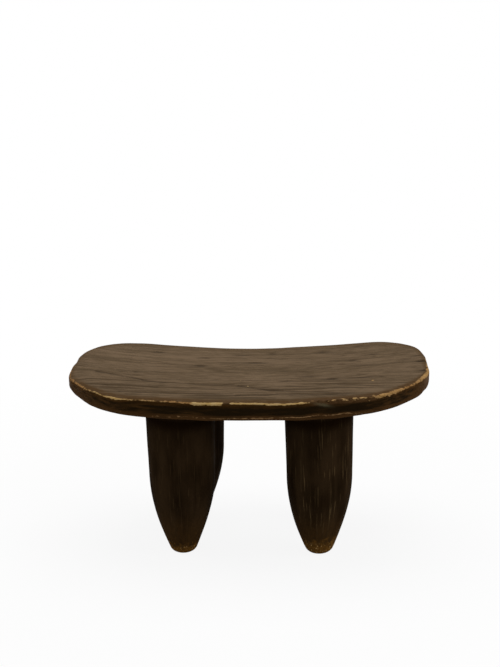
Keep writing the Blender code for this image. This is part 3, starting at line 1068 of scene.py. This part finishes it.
def seat_wood():
    """Dark stained wood, rubbed brown on the top with a painted sheen in its colours, and bare along the
    edges.
    """
    s = Surface("seat_wood_worn")
    s.grain = s.place("grain")
    streak = s.pattern(*STREAKS)
    fibre = s.pattern(*FIBRES)
    ragged = s.pattern(*RAGGED)
    colour = s.mix(s.attribute("on_top"), rim_colour(s), top_colour(s, streak, fibre))
    colour = s.mix(s.broken("chipped", s.pattern(*CHIP_TONE), CHIP_BAND), colour, CHIP_BROWN)
    colour = s.mix(s.broken("smear", ragged, SMEAR_BAND), colour, SMEAR_GREY)
    lower = s.total((1.0, s.attribute("lower_bare")), (LOWER_RAGGED, ragged), (LOWER_START, 1.0))
    colour = s.mix(s.band(lower, *LOWER_BAND), colour, LOWER_TAN)
    upper = s.total((1.0, s.attribute("bare")), (UPPER_RAGGED, ragged), (UPPER_START, 1.0))
    gold = s.mix(s.band(ragged, *GOLD_BAND), BARE_GOLD, BARE_TAN)
    bare = s.mix(s.attribute("warmth"), gold, BARE_ORANGE)
    colour = s.mix(s.band(upper, *UPPER_BAND), colour, bare)
    colour = s.mix(s.attribute("fresh"), colour, s.fresh(streak))
    top_roughness = s.band(streak, *TOP_ROUGHNESS)
    roughness = s.total((-RIM_ROUGHER, s.attribute("on_top")), (1.0, top_roughness), (RIM_ROUGHER, 1.0))
    normal = s.bump(streak, *SEAT_BUMP, s.bump(fibre, *FIBRE_BUMP))
    s.shader.inputs["Specular IOR Level"].default_value = SEAT_SPECULAR
    return s.finish(colour, roughness, normal)


# Noise patterns of the legs' wood, in the same terms, with seeds counted on from the leg's own
LEG_BLOTCHES = ((0.03, 0.03, 0.08), 2.0, 0.5, 0)
LEG_STREAKS = ((0.005, 0.005, 0.11), 4.0, 0.6, 3)
LEG_FIBRES = ((0.0012, 0.0012, 0.02), 3.0, 0.6, 9)
LEG_RAGGED = ((0.006, 0.006, 0.012), 4.0, 0.65, 13)
FOOT_CHIPS = ((0.0048, 0.0048, 0.004), 2.0, 0.6, 17)
LEG_SCRATCHES = ((0.0018, 0.0018, 0.045), 1.0, 0.5, 23)
FOOT_WEAR = ((0.01, 0.01, 0.008), 4.0, 0.65, 37)

LEG_TONE_WEIGHTS = (0.75, 0.25)
LEG_TONE_BAND = (0.34, 0.66)
LEG_LOW_BAND = (0.35, 0.6, 0.45, 0.85)
SCRATCH_BAND = (0.63, 0.7)
SCRATCH_FIBRE_BAND = (0.35, 0.6, 0.5, 1.0)
SCRATCH_LOW_BAND = (0.0, 0.8)
SCRATCH_LOW_SHARE = 0.45
LEG_TOP_SHADE = 0.55
LEG_SEAT_SHADE = 0.9
FOOT_RAGGED = 2.2
FOOT_START = -1.1
ORANGE_BAND = (0.15, 0.95, 0.0, 0.95)
ORANGE_FOOT_BAND = (0.0, 0.25)
FOOT_CHIP_BAND = (0.61, 0.66)
FOOT_CHIP_FOOT_BAND = (0.35, 0.7)
FOOT_CHIP_STRENGTH = 0.95
LEG_SPECULAR = 0.003
LEG_ROUGHNESS = (0.3, 0.7, 0.64, 0.76)
LEG_BUMP = (0.001, 0.6)

LEG_DARK = (0.0115, 0.0062, 0.0026, 1.0)
LEG_BROWN = (0.03, 0.017, 0.0076, 1.0)
LEG_LOW_BROWN = (0.054, 0.0268, 0.0084, 1.0)
LEG_SCRATCH = (0.098, 0.063, 0.028, 1.0)
LEG_PAINTED_SHADE = (0.0062, 0.0027, 0.0007, 1.0)
FOOT_ORANGE = (0.15, 0.069, 0.013, 1.0)
FOOT_TAN = (0.56, 0.35, 0.14, 1.0)


def body_colour(s, streak, fibre, scratched, lighter):
    """Near-black stain with pale upright scratches, browner low down, with painted shade under the seat."""
    tones = (s.pattern(*LEG_BLOTCHES), streak)
    tone = s.total(*zip(LEG_TONE_WEIGHTS, tones), (lighter, 1.0))
    colour = s.mix(s.band(tone, *LEG_TONE_BAND), LEG_DARK, LEG_BROWN)
    ragged = s.pattern(*LEG_RAGGED)
    colour = s.mix(s.broken("low", ragged, LEG_LOW_BAND), colour, LEG_LOW_BROWN)
    scratches = s.band(s.pattern(*LEG_SCRATCHES), *SCRATCH_BAND)
    lines = s.times(scratches, s.band(fibre, *SCRATCH_FIBRE_BAND))
    shown = s.band(s.attribute("low"), *SCRATCH_LOW_BAND, scratched, SCRATCH_LOW_SHARE * scratched)
    colour = s.mix(s.times(lines, shown), colour, LEG_SCRATCH)
    # Painted shade under the seat, and a deeper painted shade a little below the joint
    colour = s.mix(s.times(s.attribute("painted_shade_under_seat"), LEG_TOP_SHADE), colour, LEG_DARK)
    return s.mix(s.times(s.attribute("painted_shade_at_seat"), LEG_SEAT_SHADE), colour, LEG_PAINTED_SHADE)


def foot_colour(s, colour):
    """The foot's wood, rubbed orange and chipped down to tan."""
    foot = s.attribute("foot")
    rubbed = s.total((1.0, foot), (FOOT_RAGGED, s.pattern(*FOOT_WEAR)), (FOOT_START, 1.0))
    orange = s.times(s.band(rubbed, *ORANGE_BAND), s.band(foot, *ORANGE_FOOT_BAND))
    colour = s.mix(orange, colour, FOOT_ORANGE)
    chips = s.band(s.pattern(*FOOT_CHIPS), *FOOT_CHIP_BAND)
    chipped = s.times(chips, s.band(foot, *FOOT_CHIP_FOOT_BAND))
    return s.mix(s.times(chipped, FOOT_CHIP_STRENGTH), colour, FOOT_TAN)


def leg_wood(seed, scratched, lighter):
    """Near-black stained wood with upright streaks, rubbed through at the foot."""
    s = Surface("leg_wood_worn", seed)
    s.grain = s.place("grain")
    streak = s.pattern(*LEG_STREAKS)
    fibre = s.pattern(*LEG_FIBRES)
    colour = foot_colour(s, body_colour(s, streak, fibre, scratched, lighter))
    colour = s.mix(s.attribute("fresh"), colour, s.fresh(streak))
    roughness = s.band(streak, *LEG_ROUGHNESS)
    normal = s.bump(streak, *LEG_BUMP, s.bump(fibre, *FIBRE_BUMP))
    s.shader.inputs["Specular IOR Level"].default_value = LEG_SPECULAR
    return s.finish(colour, roughness, normal)


WEDGE_STREAKS = ((0.0012, 0.0012, 0.012), 4.0, 0.55, 0.0)
WEDGE_ROUGHNESS = (0.3, 0.7, 0.62, 0.74)
WEDGE_BUMP = (0.0003, 1.0)


def wedge_wood():
    """Plain pale split wood, which only shows when the joint is apart."""
    s = Surface("wedge_wood_pale")
    s.grain = s.node("ShaderNodeTexCoord").outputs["Object"]
    streak = s.pattern(*WEDGE_STREAKS)
    roughness = s.band(streak, *WEDGE_ROUGHNESS)
    return s.finish(s.fresh(streak), roughness, s.bump(streak, *WEDGE_BUMP))


def dress_wedges():
    material = wedge_wood()
    for name in LEG_NAMES:
        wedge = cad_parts[name + "_wedge"]
        wedge.data.materials.clear()
        wedge.data.materials.append(material)


# Studio


def make_camera():
    data = bpy.data.cameras.new("camera")
    data.sensor_fit = "VERTICAL"
    data.sensor_height = SENSOR_MM
    data.sensor_width = SENSOR_MM
    data.lens = SENSOR_MM * FOCAL_PIXELS / PHOTO_HEIGHT
    camera = add_object("camera", data)
    turn = Matrix.Rotation(CAMERA_YAW, 4, "Z") @ Matrix.Rotation(math.pi / 2 + CAMERA_PITCH, 4, "X")
    turn = turn @ Matrix.Rotation(CAMERA_ROLL, 4, "Z")
    camera.matrix_world = Matrix.Translation(CAMERA_PLACE) @ turn
    bpy.context.scene.camera = camera


def floor_material():
    """Pale floor. Seen directly or in a reflection it is white, and near the stool it keeps the shadow."""
    s = Surface("pale_floor")
    s.nodes.remove(s.shader)
    output = s.nodes["Material Output"]
    plain = s.node("ShaderNodeBsdfDiffuse", (("Color", FLOOR_COLOUR),))
    white = s.node("ShaderNodeEmission", (("Color", WHITE), ("Strength", 1.0)))
    path = s.node("ShaderNodeLightPath")
    seen = s.math("MAXIMUM", path.outputs["Is Camera Ray"], path.outputs["Is Glossy Ray"])
    seen = s.math("MAXIMUM", seen, path.outputs["Is Transmission Ray"])
    place = s.node("ShaderNodeNewGeometry").outputs["Position"]
    far = s.node("ShaderNodeVectorMath", ((0, place),), operation="LENGTH").outputs["Value"]
    whiteness = s.band(far, *SHADOW_REACH, 1 - SHADOW_SHARE, 1.0)
    shown = s.node("ShaderNodeMixShader", ((0, s.times(seen, whiteness)),))
    s.links.new(plain.outputs[0], shown.inputs[1])
    s.links.new(white.outputs[0], shown.inputs[2])
    s.links.new(shown.outputs[0], output.inputs["Surface"])
    return s.material


def make_floor():
    angles = [2 * math.pi * i / FLOOR_SIDES for i in range(FLOOR_SIDES)]
    corners = [(FLOOR_RADIUS * math.cos(a), FLOOR_RADIUS * math.sin(a), 0) for a in angles]
    mesh = bpy.data.meshes.new("floor")
    mesh.from_pydata(corners, [], [tuple(range(FLOOR_SIDES))])
    mesh.materials.append(floor_material())
    floor = add_object("floor", mesh)


def make_lamp(name, place, target, size, power):
    """A soft rectangular lamp that faces its target."""
    data = bpy.data.lights.new(name, "AREA")
    data.shape = "RECTANGLE"
    data.size, data.size_y = size
    data.energy = power
    lamp = add_object(name, data)
    lamp.location = place
    lamp.rotation_euler = (Vector(target) - Vector(place)).to_track_quat("-Z", "Y").to_euler()


def make_light():
    world = bpy.data.worlds.new("studio")
    world.use_nodes = True
    background = world.node_tree.nodes["Background"]
    background.inputs["Color"].default_value = WORLD_COLOUR
    bpy.context.scene.world = world
    for name, settings in LAMPS.items():
        make_lamp(name, *settings)


make_camera()
make_light()
make_floor()
make_seat()
for number, leg_name in enumerate(LEG_NAMES):
    make_leg(leg_name, number)
dress_wedges()
bpy.context.scene.view_settings.view_transform = "Standard"
